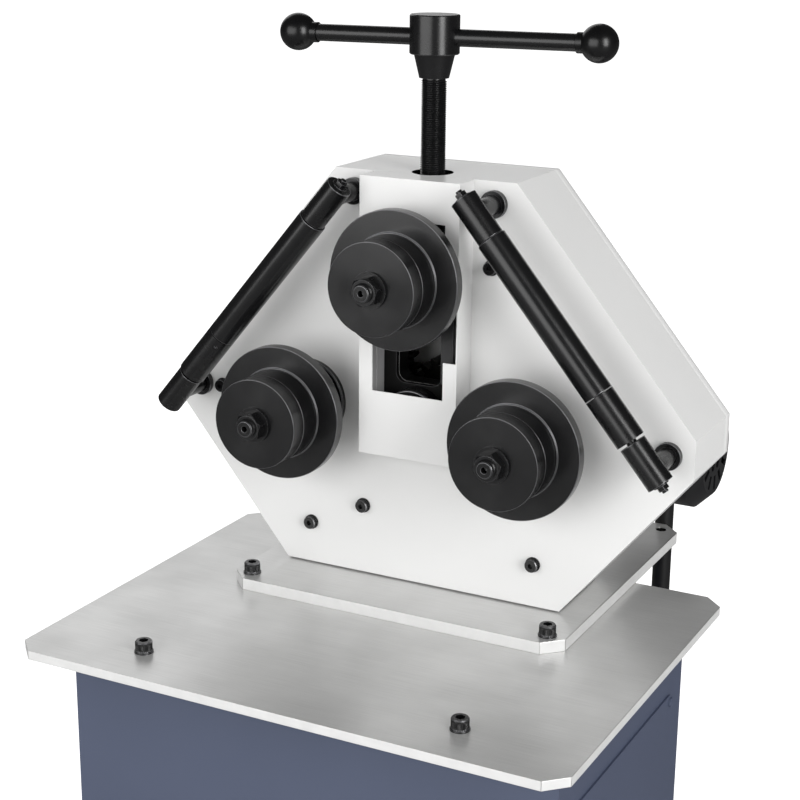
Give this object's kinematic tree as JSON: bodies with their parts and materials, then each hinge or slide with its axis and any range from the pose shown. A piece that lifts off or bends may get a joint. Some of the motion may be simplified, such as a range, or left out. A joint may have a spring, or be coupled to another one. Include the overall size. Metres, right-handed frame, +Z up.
{
  "type": "ring roller",
  "caption": "Motor-driven ring roller: overhung rollers on an octagonal gear head with a screw-down top roller, slanted guide rollers and a sheet steel stand.",
  "frame": {"origin": "centre of the stand's foot, on the floor", "axes": "+Z up, the rollers face -Y, +X to the right as seen from the front"},
  "size_m": [0.5532, 0.6095, 1.3475],
  "materials": {
    "blue_paint": "semi-gloss blue-grey powder coat",
    "white_paint": "semi-gloss white powder coat",
    "black_paint": "satin black enamel",
    "ground_steel": "ground steel",
    "dark_steel": "turned and black oxided",
    "roller_steel": "hardened, ground and black oxided",
    "black_oxide": "black oxide",
    "bronze": "machined bronze",
    "cast_grey": "painted casting",
    "black_plastic": "satin moulded"
  },
  "bodies": {
    "frame": {"cabinet": "blue_paint", "side_panels": "blue_paint", "panel_screws": "black_oxide", "table_plate": "ground_steel", "base_plate": "ground_steel", "plate_bolts": "black_oxide", "plate_washers": "black_oxide", "plate_nuts": "black_oxide", "countersunk_screws": "black_oxide", "head_housing": "white_paint", "rear_plate": "white_paint", "rear_plate_screws": "black_oxide", "front_cover": "white_paint", "left_guide_rail": "ground_steel", "gib_strip": "dark_steel", "guide_rail_screws": "black_oxide", "wear_plate": "black_oxide", "spindle_nut": "black_oxide", "ball_bearings": "ground_steel", "bearing_caps": "black_oxide", "pinion_bearing_cap": "black_oxide", "face_screws": "black_oxide", "guide_arms": "dark_steel", "guide_collars": "black_oxide", "guide_end_pieces": "dark_steel", "guide_axles": "dark_steel", "set_collars": "dark_steel", "grub_screws": "black_oxide", "guide_nuts": "black_oxide", "gearbox_housing": "cast_grey", "gearbox_flange": "cast_grey", "motor_frame": "black_paint", "fan_cowl": "black_paint", "terminal_box": "black_paint", "cable_conduit": "black_plastic", "conduit_glands": "black_plastic"},
    "slide": {"slide_block": "dark_steel", "thrust_cap": "dark_steel", "shaft_bushes": "bronze"},
    "screw": {"spindle": "dark_steel", "handle_hub": "black_oxide"},
    "bar": {"handle_bar": "black_oxide", "handle_balls": "black_plastic"},
    "top_roller": {"top_shaft": "dark_steel", "top_hub_discs": "roller_steel", "top_flange": "roller_steel", "top_nut": "dark_steel"},
    "left_roller": {"left_shaft": "dark_steel", "left_hub_discs": "roller_steel", "left_flange": "roller_steel", "left_nut": "dark_steel", "left_gear": "ground_steel"},
    "right_roller": {"right_shaft": "dark_steel", "right_hub_discs": "roller_steel", "right_flange": "roller_steel", "right_nut": "dark_steel", "right_gear": "ground_steel"},
    "pinion": {"pinion_shaft": "ground_steel"},
    "left_guide": {"left_guide_roller": "dark_steel"},
    "right_guide": {"right_guide_roller": "dark_steel"}
  },
  "joints": [
    {"name": "top_slide", "type": "slide", "parent": "frame", "child": "slide", "axis": [0, 0, 1], "range_m": [-0.0801, 0.0061]},
    {"name": "spindle_turn", "type": "hinge", "parent": "slide", "child": "screw", "pos_m": [0, 0.09125, 1.2], "axis": [0, 0, 1], "range_deg": [-14400, 1080]},
    {"name": "bar_slide", "type": "slide", "parent": "screw", "child": "bar", "axis": [0.9929, 0.1191, 0], "range_m": [-0.111, 0.092]},
    {"name": "top_roller_spin", "type": "hinge", "parent": "slide", "child": "top_roller", "pos_m": [0, 0, 1.1127], "axis": [0, 1, 0], "continuous": true},
    {"name": "right_roller_spin", "type": "hinge", "parent": "frame", "child": "right_roller", "pos_m": [0.124, 0, 0.9682], "axis": [0, 1, 0], "continuous": true},
    {"name": "left_roller_spin", "type": "hinge", "parent": "frame", "child": "left_roller", "pos_m": [-0.124, 0, 0.9682], "axis": [0, 1, 0], "continuous": true},
    {"name": "pinion_spin", "type": "hinge", "parent": "frame", "child": "pinion", "pos_m": [0, 0, 0.9682], "axis": [0, 1, 0], "continuous": true},
    {"name": "left_guide_spin", "type": "hinge", "parent": "frame", "child": "left_guide", "pos_m": [-0.0635, 0.025, 1.1926], "axis": [-0.6415, 0, -0.7672], "continuous": true},
    {"name": "right_guide_spin", "type": "hinge", "parent": "frame", "child": "right_guide", "pos_m": [0.0635, 0.025, 1.1926], "axis": [0.6415, 0, -0.7672], "continuous": true}
  ],
  "couplings": [
    {"joint": "top_slide", "follows": "spindle_turn", "m_per_rad": 0.00031831},
    {"joint": "left_roller_spin", "follows": "right_roller_spin", "ratio": 1},
    {"joint": "pinion_spin", "follows": "right_roller_spin", "ratio": -2.1}
  ]
}
